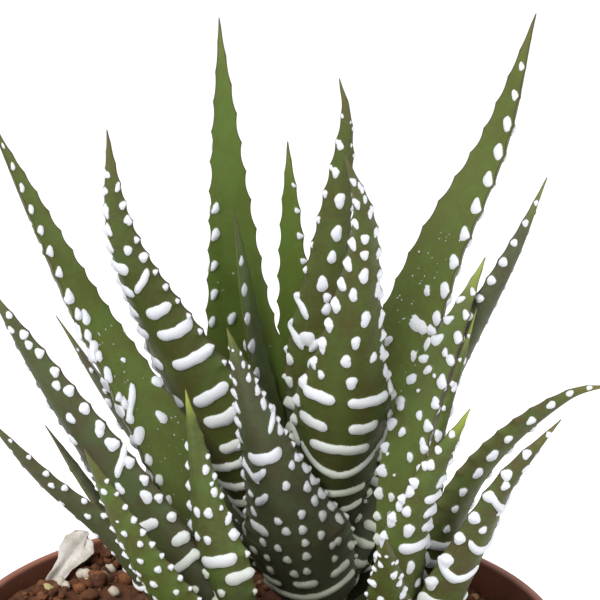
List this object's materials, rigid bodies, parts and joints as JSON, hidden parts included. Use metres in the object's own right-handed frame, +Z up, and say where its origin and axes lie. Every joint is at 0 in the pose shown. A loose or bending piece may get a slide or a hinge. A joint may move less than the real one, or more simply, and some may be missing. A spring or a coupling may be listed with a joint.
{
  "type": "potted haworthia",
  "caption": "Clump of succulent heads with long pointed white-banded leaves, standing in soil in a round tapered plastic nursery pot.",
  "frame": {"origin": "centre of the pot's flat underside, on the surface that the pot stands on", "axes": "+Z up along the pot's axis, -Y to the front as the picture sees it, +X to the right of the front view"},
  "size_m": [0.0896, 0.085, 0.1581],
  "materials": {
    "leaf": "satin dark green with raised white tubercles",
    "stem": "matt",
    "soil": "rough and crumbly, strewn with small stones",
    "pot": "matt brown terracotta colour",
    "scrap": "dry and papery"
  },
  "bodies": {
    "root": {"main_leaf_centre": "leaf", "main_leaf_inner_front": "leaf", "main_leaf_young": "leaf", "main_leaf_slim_back": "leaf", "main_leaf_tall_back": "leaf", "main_leaf_broad_front": "leaf", "main_leaf_tall_right": "leaf", "main_leaf_banded_left": "leaf", "main_leaf_slim_right": "leaf", "main_leaf_low_front": "leaf", "main_leaf_under_left": "leaf", "main_leaf_back": "leaf", "main_leaf_back_right": "leaf", "main_leaf_back_left": "leaf", "main_leaf_low_back": "leaf", "main_leaf_low_right": "leaf", "right_leaf_inner_back": "leaf", "right_leaf_inner_front": "leaf", "right_leaf_front": "leaf", "right_leaf_arching": "leaf", "right_leaf_low_right": "leaf", "right_leaf_small_front": "leaf", "right_leaf_back": "leaf", "left_leaf_inner": "leaf", "left_leaf_far_left": "leaf", "left_leaf_long": "leaf", "left_leaf_low": "leaf", "left_leaf_small": "leaf", "left_leaf_short": "leaf", "left_leaf_back": "leaf", "left_leaf_low_back": "leaf", "main_stem": "stem", "right_stem": "stem", "left_stem": "stem", "soil": "soil", "pot": "pot", "dry_scrap": "scrap"}
  },
  "joints": []
}
